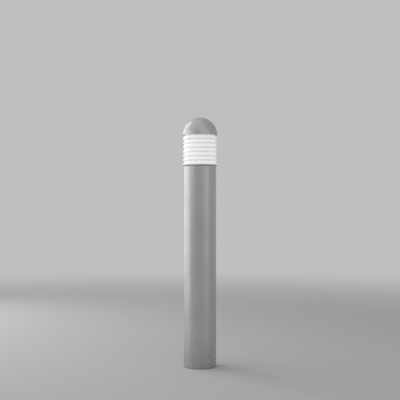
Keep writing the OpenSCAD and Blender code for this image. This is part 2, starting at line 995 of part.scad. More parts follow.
// Three-pole terminal block: a wire hole above and below each pole, a rib between the poles,
// and an ear with a screw hole at each side
module terminal_block() {
    color("ivory")
        difference() {
            union() {
                translate([-block_w / 2, block_wall_y, block_z])
                    cube([block_w, block_depth, block_h]);
                translate([0, block_wall_y + block_ear_t, block_z + block_h / 2 - block_ear / 2])
                    rotate([90, 0, 0])
                        linear_extrude(height = block_ear_t)
                            rounded_panel(block_w + 2 * block_ear, block_ear, block_ear / 2 - 0.5);
            }
            for (x = [-pole_pitch / 2, pole_pitch / 2], z = [block_z - over, block_z + block_h - 2])
                translate([x - 0.75, block_wall_y + block_ear_t, z])
                    cube([1.5, block_depth, 2 + over]);
            for (x = [-pole_pitch, 0, pole_pitch]) {
                for (z = [block_z - over, block_z + block_h - wire_hole_depth])
                    translate([x, entry_y, z])
                        cylinder(d = core_d + hole_gap, h = wire_hole_depth + over);
                at_pole_screws(x)
                    cylinder(d = pole_screw_d + hole_gap, h = pole_screw_sink + over);
            }
            for (x = [-1, 1])
                translate([x * (block_w / 2 + block_ear / 2), block_wall_y - over, block_z + block_h / 2])
                    rotate([-90, 0, 0])
                        cylinder(d = block_screw_d + hole_gap, h = block_ear_t + 2 * over);
        }
}

// The two clamping screws of a pole, sunk in the face of the block
module at_pole_screws(x) {
    for (z = [block_z + block_h * 0.22, block_z + block_h * 0.78])
        translate([x, block_wall_y + block_depth - pole_screw_sink, z])
            rotate([-90, 0, 0])
                children();
}

module terminal_screws() {
    color("silver")
        for (x = [-pole_pitch, 0, pole_pitch])
            at_pole_screws(x)
                difference() {
                    cylinder(d = pole_screw_d, h = pole_screw_sink - 1);
                    translate([-pole_screw_d, -0.4, pole_screw_sink - 2])
                        cube([2 * pole_screw_d, 0.8, over]);
                }
}

module terminal_block_screws() {
    color("silver")
        for (x = [-1, 1])
            translate([x * (block_w / 2 + block_ear / 2), block_wall_y + block_ear_t, block_z + block_h / 2])
                rotate([-90, 0, 0])
                    pan_screw(block_screw_d, block_ear_t + sheet_t);
}

base_flange();
base_countersunk_screws();
base_recessed_screws();
earth_stud();
earth_nuts();
earth_washers();
post_tube();
head_carrier();
carrier_seal_ring();
head_set_screws();
lower_gasket();
glass_diffuser();
upper_gasket();
cap();
tie_rods();
tie_rod_seal_washers();
tie_rod_nuts();
lamp_bracket();
bracket_screws();
lamp_holder();
lamp_holder_screws();
lamp_holder_shell();
lamp_centre_contact();
lamp();
gland_body();
gland_lock_nut();
gland_seal();
gland_dome_nut();
terminal_plate();
terminal_plate_screws();
terminal_block();
terminal_screws();
terminal_block_screws();
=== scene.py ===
"""Looks, light and camera of the bollard light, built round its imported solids."""

import json
import logging
import math
from dataclasses import dataclass, replace
from enum import Enum

import bmesh
import bpy
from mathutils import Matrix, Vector


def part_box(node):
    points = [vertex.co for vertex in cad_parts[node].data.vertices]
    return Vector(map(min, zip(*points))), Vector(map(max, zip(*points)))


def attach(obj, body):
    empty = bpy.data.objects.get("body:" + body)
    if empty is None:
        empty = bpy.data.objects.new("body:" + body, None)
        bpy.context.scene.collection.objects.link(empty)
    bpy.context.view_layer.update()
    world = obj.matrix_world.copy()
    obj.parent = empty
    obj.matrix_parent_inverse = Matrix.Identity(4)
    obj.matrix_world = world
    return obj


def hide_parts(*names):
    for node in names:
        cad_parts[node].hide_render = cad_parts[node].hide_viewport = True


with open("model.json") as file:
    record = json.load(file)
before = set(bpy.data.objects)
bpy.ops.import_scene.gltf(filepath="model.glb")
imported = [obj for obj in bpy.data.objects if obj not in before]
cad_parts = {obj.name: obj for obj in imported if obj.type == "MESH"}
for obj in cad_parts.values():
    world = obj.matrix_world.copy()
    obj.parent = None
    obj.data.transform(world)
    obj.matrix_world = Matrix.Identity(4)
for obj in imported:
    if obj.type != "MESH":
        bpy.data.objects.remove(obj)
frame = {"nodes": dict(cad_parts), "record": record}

LOG = logging.getLogger("bollard_light")
MM = 0.001
FULL_TURN = 2.0 * math.pi
WELD = 1e-6
BODY = "root"
RIBS = 7
RIB_PITCH = 17.0 * MM
DUST_COLOUR = (0.19, 0.18, 0.165)
DUST_REACH = 0.16
GRAIN_DETAIL = 3.0

Colour = tuple[float, float, float]
Point = tuple[float, float, float]
Outline = list[tuple[float, float]]


class Slot(Enum):
    """The record's material slots that the pieces of the light use."""

    CAST = "cast_aluminium"
    PAINT = "painted_aluminium"
    STAINLESS = "stainless_steel"
    ZINC = "zinc_steel"
    BLACK_RUBBER = "black_rubber"
    GREY_RUBBER = "grey_rubber"
    OPAL = "opal_glass"
    PORCELAIN = "porcelain"
    BRASS = "brass"
    LAMP_GLASS = "lamp_glass"
    GREY_PLASTIC = "grey_plastic"
    PALE_PLASTIC = "pale_plastic"


class Grain(Enum):
    """The fine relief of a surface, as stretch factors of its noise along X, Y and Z."""

    PEEL = (1.0, 1.0, 0.6)
    SAND = (1.0, 1.0, 1.0)
    DRAWN = (1.0, 1.0, 0.03)
    PRESSED = (1.0, 1.0, 3.0)


class NodeSheet:
    """A node tree that is written from left to right, with short calls to add and link nodes."""

    COLUMN_WIDTH = 190.0

    def __init__(self, tree: bpy.types.NodeTree) -> None:
        """Starts on an emptied node tree.

        Args:
            tree: The tree of a material, of the world or of a node group.
        """
        self.tree = tree
        self.column = 0
        tree.nodes.clear()

    def add(self, kind: str, **settings: object) -> bpy.types.Node:
        """Adds a node to the right of the last one.

        Args:
            kind: The node's type name.
            **settings: Attributes of the node that are set to a value.

        Returns:
            The new node.
        """
        node = self.tree.nodes.new(kind)
        node.location = (self.column * self.COLUMN_WIDTH, 0.0)
        self.column += 1
        for name, value in settings.items():
            setattr(node, name, value)
        return node

    def link(self, source: bpy.types.NodeSocket, target: bpy.types.NodeSocket) -> None:
        """Links an output to an input."""
        self.tree.links.new(source, target)

    def group(self, tree: bpy.types.NodeTree, **values: float | Colour) -> bpy.types.Node:
        """Places a node group and sets its inputs.

        Args:
            tree: The group to place.
            **values: A value for each named input, with underscores for spaces.

        Returns:
            The group node.
        """
        node = self.add("ShaderNodeGroup", node_tree=tree)
        for name, value in values.items():
            socket = node.inputs[name.replace("_", " ").capitalize()]
            socket.default_value = (*value, 1.0) if isinstance(value, tuple) else value
        return node


class SurfaceGroups:
    """The effects that several finishes share, each built once as a shader node group.

    Attributes:
        mottle: Soft patches of two colours and two roughnesses.
        relief: The height of a fine grain.
        grime: A thin film of dust near the ground.
        painted_rib_light: Painted light on the ribs of the glass, dimmer along each rib's edge and in the
            groove above it as painted shade.
    """

    PATCH_DETAIL = 4.0
    PATCH_EDGES = (0.35, 0.65)
    GRAIN_ROUGHNESS = 0.55
    DUST_PATCHES = 45.0
    DUST_DETAIL = 6.0

    def __init__(self) -> None:
        """Builds the groups."""
        self.mottle = self._mottle()
        self.relief = self._relief()
        self.grime = self._grime()
        # Painted light for the opal glass, with painted shade along the ribs' edges.
        self.painted_rib_light = self._painted_rib_light_group()

    @staticmethod
    def _new_group(name: str, inputs: dict[str, str], outputs: dict[str, str]) -> NodeSheet:
        """Makes an empty group with its sockets.

        Args:
            name: The name of the group.
            inputs: Socket name to socket type.
            outputs: Socket name to socket type.

        Returns:
            The sheet of the new group.
        """
        tree = bpy.data.node_groups.new(name, "ShaderNodeTree")
        for label, kind in inputs.items():
            tree.interface.new_socket(name=label, in_out="INPUT", socket_type=kind)
        for label, kind in outputs.items():
            tree.interface.new_socket(name=label, in_out="OUTPUT", socket_type=kind)
        return NodeSheet(tree)

    def _mottle(self) -> bpy.types.NodeTree:
        """Builds the group that drifts between two colours and two roughnesses in soft patches.

        Returns:
            The tree of the group.
        """
        sheet = self._new_group(
            "soft_mottle",
            {
                "Light": "NodeSocketColor",
                "Shade": "NodeSocketColor",
                "Scale": "NodeSocketFloat",
                "Roughness": "NodeSocketFloat",
                "Spread": "NodeSocketFloat",
            },
            {"Colour": "NodeSocketColor", "Roughness": "NodeSocketFloat"},
        )
        given = sheet.add("NodeGroupInput")
        place = sheet.add("ShaderNodeTexCoord")
        noise = sheet.add("ShaderNodeTexNoise")
        noise.inputs["Detail"].default_value = self.PATCH_DETAIL
        ramp = sheet.add("ShaderNodeMapRange")
        ramp.inputs["From Min"].default_value, ramp.inputs["From Max"].default_value = self.PATCH_EDGES
        mix = sheet.add("ShaderNodeMix", data_type="RGBA")
        centred = sheet.add("ShaderNodeMath", operation="SUBTRACT")
        centred.inputs[1].default_value = 0.5
        rough = sheet.add("ShaderNodeMath", operation="MULTIPLY_ADD")
        out = sheet.add("NodeGroupOutput")
        sheet.link(place.outputs["Object"], noise.inputs["Vector"])
        sheet.link(given.outputs["Scale"], noise.inputs["Scale"])
        sheet.link(noise.outputs["Fac"], ramp.inputs["Value"])
        sheet.link(ramp.outputs["Result"], mix.inputs["Factor"])
        sheet.link(given.outputs["Light"], mix.inputs["A"])
        sheet.link(given.outputs["Shade"], mix.inputs["B"])
        sheet.link(ramp.outputs["Result"], centred.inputs[0])
        sheet.link(centred.outputs["Value"], rough.inputs[0])
        sheet.link(given.outputs["Spread"], rough.inputs[1])
        sheet.link(given.outputs["Roughness"], rough.inputs[2])
        sheet.link(mix.outputs["Result"], out.inputs["Colour"])
        sheet.link(rough.outputs["Value"], out.inputs["Roughness"])
        return sheet.tree

    def _relief(self) -> bpy.types.NodeTree:
        """Builds the group that gives the height of a fine, stretched grain.

        Returns:
            The tree of the group.
        """
        sheet = self._new_group(
            "fine_relief",
            {"Stretch": "NodeSocketVector", "Scale": "NodeSocketFloat", "Detail": "NodeSocketFloat"},
            {"Height": "NodeSocketFloat"},
        )
        given = sheet.add("NodeGroupInput")
        place = sheet.add("ShaderNodeTexCoord")
        stretch = sheet.add("ShaderNodeVectorMath", operation="MULTIPLY")
        noise = sheet.add("ShaderNodeTexNoise")
        noise.inputs["Roughness"].default_value = self.GRAIN_ROUGHNESS
        out = sheet.add("NodeGroupOutput")
        sheet.link(place.outputs["Object"], stretch.inputs[0])
        sheet.link(given.outputs["Stretch"], stretch.inputs[1])
        sheet.link(stretch.outputs["Vector"], noise.inputs["Vector"])
        sheet.link(given.outputs["Scale"], noise.inputs["Scale"])
        sheet.link(given.outputs["Detail"], noise.inputs["Detail"])
        sheet.link(noise.outputs["Fac"], out.inputs["Height"])
        return sheet.tree

    def _grime(self) -> bpy.types.NodeTree:
        """Builds the group that darkens a colour with a thin film of dust low on the post.

        Returns:
            The tree of the group.
        """
        sheet = self._new_group(
            "ground_dust",
            {"Colour": "NodeSocketColor", "Dust": "NodeSocketColor", "Reach": "NodeSocketFloat",
             "Amount": "NodeSocketFloat"},
            {"Colour": "NodeSocketColor"},
        )
        given = sheet.add("NodeGroupInput")
        place = sheet.add("ShaderNodeTexCoord")
        split = sheet.add("ShaderNodeSeparateXYZ")
        fade = sheet.add("ShaderNodeMapRange", interpolation_type="SMOOTHSTEP")
        fade.inputs["To Min"].default_value = 1.0
        fade.inputs["To Max"].default_value = 0.0
        noise = sheet.add("ShaderNodeTexNoise")
        noise.inputs["Scale"].default_value = self.DUST_PATCHES
        noise.inputs["Detail"].default_value = self.DUST_DETAIL
        patch = sheet.add("ShaderNodeMath", operation="MULTIPLY")
        weight = sheet.add("ShaderNodeMath", operation="MULTIPLY")
        mix = sheet.add("ShaderNodeMix", data_type="RGBA")
        out = sheet.add("NodeGroupOutput")
        sheet.link(place.outputs["Object"], split.inputs["Vector"])
        sheet.link(split.outputs["Z"], fade.inputs["Value"])
        sheet.link(given.outputs["Reach"], fade.inputs["From Max"])
        sheet.link(place.outputs["Object"], noise.inputs["Vector"])
        sheet.link(fade.outputs["Result"], patch.inputs[0])
        sheet.link(noise.outputs["Fac"], patch.inputs[1])
        sheet.link(patch.outputs["Value"], weight.inputs[0])
        sheet.link(given.outputs["Amount"], weight.inputs[1])
        sheet.link(weight.outputs["Value"], mix.inputs["Factor"])
        sheet.link(given.outputs["Colour"], mix.inputs["A"])
        sheet.link(given.outputs["Dust"], mix.inputs["B"])
        sheet.link(mix.outputs["Result"], out.inputs["Colour"])
        return sheet.tree

    def _painted_rib_light_group(self) -> bpy.types.NodeTree:
        """Builds the group that spreads painted light over the ribs: full on the middle of each rib's
        slope, dimmer along its edge and in the groove above it, where the dimming is painted shade and
        partly the thicker glass.

        Returns:
            The tree of the group.
        """
        sheet = self._new_group(
            "painted_rib_light",
            {"Slope": "NodeSocketColor", "Edge": "NodeSocketColor", "Foot": "NodeSocketFloat",
             "Half pitch": "NodeSocketFloat", "Reach": "NodeSocketFloat"},
            {"Colour": "NodeSocketColor"},
        )
        given = sheet.add("NodeGroupInput")
        place = sheet.add("ShaderNodeTexCoord")
        split = sheet.add("ShaderNodeSeparateXYZ")
        rise = sheet.add("ShaderNodeMath", operation="SUBTRACT")
        stop = sheet.add("ShaderNodeMath", operation="MINIMUM")
        fold = sheet.add("ShaderNodeMath", operation="PINGPONG")
        share = sheet.add("ShaderNodeMapRange", interpolation_type="SMOOTHSTEP")
        mix = sheet.add("ShaderNodeMix", data_type="RGBA")
        out = sheet.add("NodeGroupOutput")
        sheet.link(place.outputs["Object"], split.inputs["Vector"])
        sheet.link(split.outputs["Z"], rise.inputs[0])
        sheet.link(given.outputs["Foot"], rise.inputs[1])
        sheet.link(rise.outputs["Value"], stop.inputs[0])
        sheet.link(given.outputs["Reach"], stop.inputs[1])
        sheet.link(stop.outputs["Value"], fold.inputs[0])
        sheet.link(given.outputs["Half pitch"], fold.inputs[1])
        sheet.link(fold.outputs["Value"], share.inputs["Value"])
        sheet.link(given.outputs["Half pitch"], share.inputs["From Max"])
        sheet.link(share.outputs["Result"], mix.inputs["Factor"])
        sheet.link(given.outputs["Edge"], mix.inputs["A"])
        sheet.link(given.outputs["Slope"], mix.inputs["B"])
        sheet.link(mix.outputs["Result"], out.inputs["Colour"])
        return sheet.tree


@dataclass(frozen=True)
class Finish:
    """One surface finish.

    Attributes:
        slot: The record's slot, which also names the material.
        light: The base colour.
        shade: The colour of the darker patches of the mottle.
        roughness: The middle roughness.
        spread: How far the roughness drifts between patches.
        metallic: 1 for bare metal, less for a paint with metal flakes.
        mottle: Patches per metre, roughly.
        grain: The kind of fine relief.
        grain_scale: Grains per metre, roughly.
        grain_depth: Depth of the relief in millimetres.
        coat: Weight of the clear coat.
        coat_roughness: Roughness of the clear coat.
        dust: Amount of dust low on the post.
    """

    slot: Slot
    light: Colour
    shade: Colour
    roughness: float
    spread: float = 0.06
    metallic: float = 0.0
    mottle: float = 12.0
    grain: Grain = Grain.SAND
    grain_scale: float = 900.0
    grain_depth: float = 0.02
    coat: float = 0.0
    coat_roughness: float = 0.3
    dust: float = 0.0

    def build(self, groups: SurfaceGroups) -> bpy.types.Material:
        """Makes the material.

        Args:
            groups: The shared node groups.

        Returns:
            The new material.
        """
        material = bpy.data.materials.new(f"finish_{self.slot.value}")
        material.use_nodes = True
        sheet = NodeSheet(material.node_tree)
        mottle = sheet.group(
            groups.mottle,
            light=self.light,
            shade=self.shade,
            scale=self.mottle,
            spread=self.spread,
        )
        mottle.inputs["Roughness"].default_value = self.roughness
        dust = sheet.group(groups.grime, dust=DUST_COLOUR, reach=DUST_REACH, amount=self.dust)
        relief = sheet.group(groups.relief, scale=self.grain_scale, detail=GRAIN_DETAIL)
        relief.inputs["Stretch"].default_value = self.grain.value
        bump = sheet.add("ShaderNodeBump")
        bump.inputs["Strength"].default_value = 1.0
        bump.inputs["Distance"].default_value = self.grain_depth * MM
        shader = sheet.add("ShaderNodeBsdfPrincipled")
        shader.inputs["Metallic"].default_value = self.metallic
        shader.inputs["Coat Weight"].default_value = self.coat
        shader.inputs["Coat Roughness"].default_value = self.coat_roughness
        self.tune(sheet, shader, groups)
        out = sheet.add("ShaderNodeOutputMaterial")
        sheet.link(mottle.outputs["Colour"], dust.inputs["Colour"])
        sheet.link(dust.outputs["Colour"], shader.inputs["Base Color"])
        sheet.link(mottle.outputs["Roughness"], shader.inputs["Roughness"])
        sheet.link(relief.outputs["Height"], bump.inputs["Height"])
        sheet.link(bump.outputs["Normal"], shader.inputs["Normal"])
        sheet.link(shader.outputs["BSDF"], out.inputs["Surface"])
        return material

    def tune(self, sheet: NodeSheet, shader: bpy.types.Node, groups: SurfaceGroups) -> None:
        """Adds what a special finish needs; a plain one needs nothing."""


@dataclass(frozen=True)
class OpalFinish(Finish):
    """Opal glass, which scatters light inside its wall, with painted light on it that stands in for studio
    light scattered through it, brightest between the ribs' edges.

    Attributes:
        scatter: Weight of the light that scatters below the surface.
        depth: How far it scatters, in millimetres.
        scatter_shares: How far each of the three colours scatters, as a share of the depth.
        painted_glow: Strength of the painted light, an emission that stands in for studio light scattered
            through the glass.
        painted_edge_share: Share of the painted light that is left along a rib's edge and in the groove
            above it, where the dimming is painted shade and partly the thicker glass.
        tint: Colour of the painted light.
    """

    scatter: float = 0.3
    depth: float = 2.0
    scatter_shares: Colour = (1.0, 1.0, 0.9)
    painted_glow: float = 0.40
    painted_edge_share: float = 0.5
    tint: Colour = (1.0, 0.997, 0.99)

    def tune(self, sheet: NodeSheet, shader: bpy.types.Node, groups: SurfaceGroups) -> None:
        """Adds the scattering and the painted light.

        Args:
            sheet: The sheet of the material.
            shader: The finish's Principled shader.
            groups: The shared node groups.
        """
        shader.inputs["Subsurface Weight"].default_value = self.scatter
        shader.inputs["Subsurface Radius"].default_value = self.scatter_shares
        shader.inputs["Subsurface Scale"].default_value = self.depth * MM
        # Painted light: an emission that stands in for studio light scattered through the glass.
        shader.inputs["Emission Strength"].default_value = self.painted_glow
        # Painted shade: the painted light is dimmer along each rib's edge and in the groove above it.
        painted_glow = sheet.group(
            groups.painted_rib_light,
            slope=self.tint,
            edge=tuple(self.painted_edge_share * part for part in self.tint),
            foot=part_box("glass_diffuser")[0][2],
            half_pitch=RIB_PITCH / 2.0,
            reach=(RIBS - 0.5) * RIB_PITCH,
        )
        sheet.link(painted_glow.outputs["Colour"], shader.inputs["Emission Color"])


FINISHES = (
    Finish(Slot.PAINT, (0.513, 0.515, 0.517), (0.473, 0.475, 0.477), 0.42, spread=0.05, metallic=0.75,
           mottle=9.0, grain=Grain.PEEL, grain_scale=620.0, grain_depth=0.03, coat=0.4,
           coat_roughness=0.28, dust=0.35),
    Finish(Slot.CAST, (0.40, 0.40, 0.405), (0.34, 0.34, 0.345), 0.48, spread=0.1, metallic=0.85,
           mottle=30.0, grain_scale=1100.0, grain_depth=0.06, dust=0.5),
    Finish(Slot.STAINLESS, (0.56, 0.555, 0.545), (0.47, 0.465, 0.455), 0.28, spread=0.12, metallic=1.0,
           mottle=160.0, grain_scale=2500.0, grain_depth=0.015),
    Finish(Slot.ZINC, (0.58, 0.59, 0.61), (0.48, 0.49, 0.50), 0.36, spread=0.16, metallic=1.0,
           mottle=70.0, grain=Grain.DRAWN, grain_scale=1500.0, grain_depth=0.02),
    Finish(Slot.BLACK_RUBBER, (0.030, 0.030, 0.031), (0.020, 0.020, 0.021), 0.72,
           mottle=60.0, grain_scale=1800.0, grain_depth=0.03),
    Finish(Slot.GREY_RUBBER, (0.22, 0.22, 0.22), (0.18, 0.18, 0.18), 0.62,
           mottle=50.0, grain_scale=1600.0, grain_depth=0.02),
    # Opal glass with painted light, dimmer along the ribs' edges where it is painted shade.
    OpalFinish(Slot.OPAL, (0.82, 0.82, 0.817), (0.79, 0.79, 0.787), 0.42, spread=0.04,
               mottle=14.0, grain=Grain.PRESSED, grain_scale=70.0, grain_depth=0.02),
    Finish(Slot.PORCELAIN, (0.84, 0.82, 0.76), (0.79, 0.77, 0.71), 0.18,
           mottle=40.0, grain_scale=400.0, grain_depth=0.03, coat=0.5, coat_roughness=0.08),
    Finish(Slot.BRASS, (0.78, 0.58, 0.28), (0.66, 0.47, 0.21), 0.3, spread=0.12, metallic=1.0,
           mottle=120.0, grain_scale=2000.0, grain_depth=0.015),
    # The lamp's bulb, with faint even painted light on its glass.
    OpalFinish(Slot.LAMP_GLASS, (0.93, 0.93, 0.91), (0.91, 0.91, 0.89), 0.3,
               mottle=30.0, grain_scale=300.0, grain_depth=0.01, painted_glow=0.05, painted_edge_share=1.0),
    Finish(Slot.GREY_PLASTIC, (0.13, 0.135, 0.14), (0.11, 0.115, 0.12), 0.5,
           mottle=60.0, grain_scale=2200.0, grain_depth=0.03),
    Finish(Slot.PALE_PLASTIC, (0.78, 0.76, 0.69), (0.74, 0.71, 0.64), 0.42,
           mottle=60.0, grain_scale=2200.0, grain_depth=0.02),
)


class FinishShelf:
    """Every finish as a material, and the way pieces and solids get theirs."""

    def __init__(self) -> None:
        """Builds all the materials."""
        groups = SurfaceGroups()
        self.materials = {finish.slot: finish.build(groups) for finish in FINISHES}

    def dress_solids(self) -> None:
        """Gives each solid of the frame the material of its own slot."""
        slots = {part["node"]: Slot(part["material_slot"]) for part in frame["record"]["subparts"]}
        for name, solid in frame["nodes"].items():
            for holder in solid.material_slots:
                holder.material = self.materials[slots[name]]
            LOG.info("solid %s wears %s", name, slots[name].value)

    def dress(self, piece: bpy.types.Object, slot: Slot) -> None:
        """Gives a new piece its material.

        Args:
            piece: The new piece.
            slot: The record's slot of the piece.
        """
        piece.data.materials.append(self.materials[slot])


def revolve(mesh: bmesh.types.BMesh, steps: int) -> bmesh.types.BMesh:
    """Spins a half section round the Z axis into a closed shape.

    Args:
        mesh: The half section as edges in the XZ plane.
        steps: Segments in a full turn.

    Returns:
        The same bmesh, closed and with its faces outwards.
    """
    bmesh.ops.spin(
        mesh,
        geom=mesh.verts[:] + mesh.edges[:],
        cent=(0.0, 0.0, 0.0),
        axis=(0.0, 0.0, 1.0),
        dvec=(0.0, 0.0, 0.0),
        angle=FULL_TURN,
        steps=steps,
        use_merge=True,
    )
    bmesh.ops.remove_doubles(mesh, verts=mesh.verts, dist=WELD)
    on_axis = [edge for edge in mesh.edges if edge.is_wire]
    bmesh.ops.delete(mesh, geom=on_axis, context="EDGES")
    bmesh.ops.recalc_face_normals(mesh, faces=mesh.faces)
    return mesh


def join(target: bmesh.types.BMesh, added: bmesh.types.BMesh) -> None:
    """Moves a bmesh into another one.

    Args:
        target: The bmesh that gets the other.
        added: The bmesh that is moved, which is freed.
    """
    data = bpy.data.meshes.new("joined")
    added.to_mesh(data)
    added.free()
    target.from_mesh(data)
    bpy.data.meshes.remove(data)


class Turning:
    """A shape that is drawn in half section, rounded at its corners and spun round the Z axis."""

    def __init__(self, outline: Outline, steps: int = 160) -> None:
        """Draws the half section as one face in the XZ plane.

        Args:
            outline: Corners as radius and height in metres.
            steps: Segments in a full turn.
        """
        self.steps = steps
        self.mesh = bmesh.new()
        self.corners = [self.mesh.verts.new((radius, 0.0, height)) for radius, height in outline]
        self.mesh.faces.new(self.corners)

    def round(self, picked: list[int], offset: float, segments: int = 3) -> None:
        """Rounds some of the corners.

        Args:
            picked: Indices of the corners in the outline.
            offset: How far the round reaches along each side, in metres.
            segments: Segments of the round.
        """
        bmesh.ops.bevel(
            self.mesh,
            geom=[self.corners[index] for index in picked],
            offset=offset,
            segments=segments,
            profile=0.5,
            affect="VERTICES",
            material=-1,
        )

    def spin(self) -> bmesh.types.BMesh:
        """Leaves the section's edges only and spins them into a closed bmesh."""
        bmesh.ops.delete(self.mesh, geom=self.mesh.faces[:], context="FACES_ONLY")
        return revolve(self.mesh, self.steps)


@dataclass(frozen=True)
class ThreadCutter:
    """A helical thread along Z, made by spinning one tooth.

    Attributes:
        radius: Outer radius in metres.
        pitch: Rise of one turn in metres.
        depth: Depth of the tooth in metres.
        steps: Segments in one turn.
        land: Half the width of the flat crest, as a share of the pitch.
        weld: How near the ends of two turns have to be to join, as a share of the pitch.
    """

    radius: float
    pitch: float
    depth: float
    steps: int = 18
    land: float = 0.125
    weld: float = 0.02

    def tooth(self) -> Outline:
        """Draws one pitch of the sharp thread.

        Returns:
            Its corners as radius and rise.
        """
        root, middle, land = self.radius - self.depth, self.pitch / 2.0, self.pitch * self.land
        return [(root, 0.0), (self.radius, middle - land), (self.radius, middle + land), (root, self.pitch)]

    def wind(self, low: float, high: float) -> bmesh.types.BMesh:
        """Winds the thread between two heights, so that threads of one pitch fit into each other.

        Args:
            low: Height of its lower end in metres.
            high: Height of its upper end in metres.

        Returns:
            The thread's surface as a bmesh that is open at both flat ends.
        """
        start = (math.floor(low / self.pitch) - 1.0) * self.pitch
        turns = math.ceil((high - start) / self.pitch) + 1
        mesh = bmesh.new()
        tooth = [mesh.verts.new((radius, 0.0, start + rise)) for radius, rise in self.tooth()]
        edges = [mesh.edges.new(pair) for pair in zip(tooth, tooth[1:])]
        bmesh.ops.spin(
            mesh,
            geom=tooth + edges,
            cent=(0.0, 0.0, 0.0),
            axis=(0.0, 0.0, 1.0),
            dvec=(0.0, 0.0, self.pitch / self.steps),
            angle=FULL_TURN,
            steps=self.steps,
        )
        made = 1
        while made < turns:
            copied = bmesh.ops.duplicate(mesh, geom=mesh.verts[:] + mesh.edges[:] + mesh.faces[:])["geom"]
            moved = [item for item in copied if isinstance(item, bmesh.types.BMVert)]
            bmesh.ops.translate(mesh, verts=moved, vec=(0.0, 0.0, made * self.pitch))
            made *= 2
        bmesh.ops.remove_doubles(mesh, verts=mesh.verts, dist=self.pitch * self.weld)
        for height, side in ((low, -1.0), (high, 1.0)):
            bmesh.ops.bisect_plane(
                mesh,
                geom=mesh.verts[:] + mesh.edges[:] + mesh.faces[:],
                dist=WELD,
                plane_co=(0.0, 0.0, height),
                plane_no=(0.0, 0.0, side),
                clear_outer=True,
            )
        return mesh

    def cut(self, low: float, high: float) -> bmesh.types.BMesh:
        """Makes a threaded bar between two heights, with flat ends.

        Args:
            low: Height of its lower end in metres.
            high: Height of its upper end in metres.

        Returns:
            The bar as a closed bmesh.
        """
        mesh = self.wind(low, high)
        bmesh.ops.edgenet_fill(mesh, edges=[edge for edge in mesh.edges if edge.is_boundary])
        bmesh.ops.recalc_face_normals(mesh, faces=mesh.faces)
        return mesh


@dataclass(frozen=True)
class RolledThread(ThreadCutter):
    """The round thread that is rolled into the thin sheet of a screw lamp's cap and of its holder.

    Attributes:
        wave_points: Points in one wave.
    """

    wave_points: int = 8

    def tooth(self) -> Outline:
        """Draws one pitch of the round wave.

        Returns:
            Its points as radius and rise.
        """
        middle, swing = self.radius - self.depth / 2.0, self.depth / 2.0
        parts = [index / self.wave_points for index in range(self.wave_points + 1)]
        return [(middle - swing * math.cos(FULL_TURN * part), part * self.pitch) for part in parts]

    def roll(self, low: float, high: float, wall: float) -> bmesh.types.BMesh:
        """Makes a threaded sleeve of thin sheet, open at both ends.

        Args:
            low: Height of its lower end in metres.
            high: Height of its upper end in metres.
            wall: Thickness of the sheet.

        Returns:
            The sleeve as a closed bmesh.
        """
        mesh = self.wind(low, high)
        join(mesh, replace(self, radius=self.radius - wall).wind(low, high))
        for height in (low, high):
            rim = [
                edge for edge in mesh.edges
                if edge.is_boundary and all(abs(vert.co.z - height) < WELD for vert in edge.verts)
            ]
            bmesh.ops.triangle_fill(mesh, edges=rim, use_beauty=True, normal=(0.0, 0.0, 1.0))
        bmesh.ops.recalc_face_normals(mesh, faces=mesh.faces)
        return mesh


def make_piece(name: str, mesh: bmesh.types.BMesh, sharp_angle: float = 35.0) -> bpy.types.Object:
    """Turns a bmesh into an object at the origin, smooth but for its sharp edges.

    Args:
        name: Name of the new piece.
        mesh: The finished bmesh, which is freed.
        sharp_angle: Edges sharper than this, in degrees, stay sharp.

    Returns:
        The new object.
    """
    data = bpy.data.meshes.new(name)
    mesh.to_mesh(data)
    mesh.free()
    data.polygons.foreach_set("use_smooth", [True] * len(data.polygons))
    data.set_sharp_from_angle(angle=math.radians(sharp_angle))
    piece = bpy.data.objects.new(name, data)
    bpy.context.scene.collection.objects.link(piece)
    return piece


def settle(piece: bpy.types.Object, shelf: FinishShelf, slot: Slot, node: str) -> None:
    """Dresses a new piece, lets it ride and lets it stand for its solid.

    Args:
        piece: The new piece.
        shelf: The finishes.
        slot: The slot that the piece takes its finish from.
        node: The node that the piece stands for, alone or with others.
    """
    shelf.dress(piece, slot)
    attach(piece, BODY)
    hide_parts(node)
    LOG.info("piece %s: %d faces, for %s", piece.name, len(piece.data.polygons), node)


@dataclass
class RibbedGlass:
    """The pressed opal glass: seven skirts with fire-polished edges over a smooth bore.

    Attributes:
        ribs: Number of ribs.
        pitch: Height of one rib in metres.
        depth: How far a rib stands out.
        wall: Wall between the ribs.
        tip_round: Reach of the round on a rib's edge.
        root_round: Reach of the round in the groove above a rib.
        tip_cut: How much radius the round takes off a sharp rib.
        rim_round: Reach of the rounds at the ends of the bore and of the neck.
        sharp_angle: Edges sharper than this, in degrees, stay sharp.
        steps: Segments round the glass.
    """

    ribs: int = RIBS
    pitch: float = RIB_PITCH
    depth: float = 9.5 * MM
    wall: float = 5.0 * MM
    tip_round: float = 1.3 * MM
    root_round: float = 0.4 * MM
    tip_cut: float = 0.5 * MM
    rim_round: float = 1.0 * MM
    sharp_angle: float = 48.0
    steps: int = 192

    def outline(self) -> Outline:
        """Draws the half section: the bore's foot, the ribs upwards, the neck, and the bore's top.

        Returns:
            Its sharp corners as radius and height.
        """
        low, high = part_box("glass_diffuser")
        edge = high[0] + self.tip_cut
        root = high[0] - self.depth
        bore = root - self.wall
        ribs = []
        for index in range(self.ribs):
            foot = low[2] + index * self.pitch
            ribs += [(edge, foot), (root, foot + self.pitch)]
        return [(bore, low[2]), *ribs, (root, high[2]), (bore, high[2])]

    def build(self, shelf: FinishShelf) -> None:
        """Makes the glass in place of its solid.

        Args:
            shelf: The finishes.
        """
        section = Turning(self.outline(), self.steps)
        last = 2 * self.ribs
        section.round(list(range(1, last, 2)), self.tip_round, segments=4)
        section.round(list(range(2, last, 2)), self.root_round)
        section.round([0, last + 1, last + 2], self.rim_round)
        glass = make_piece("ribbed_opal_glass", section.spin(), self.sharp_angle)
        settle(glass, shelf, Slot.OPAL, "glass_diffuser")


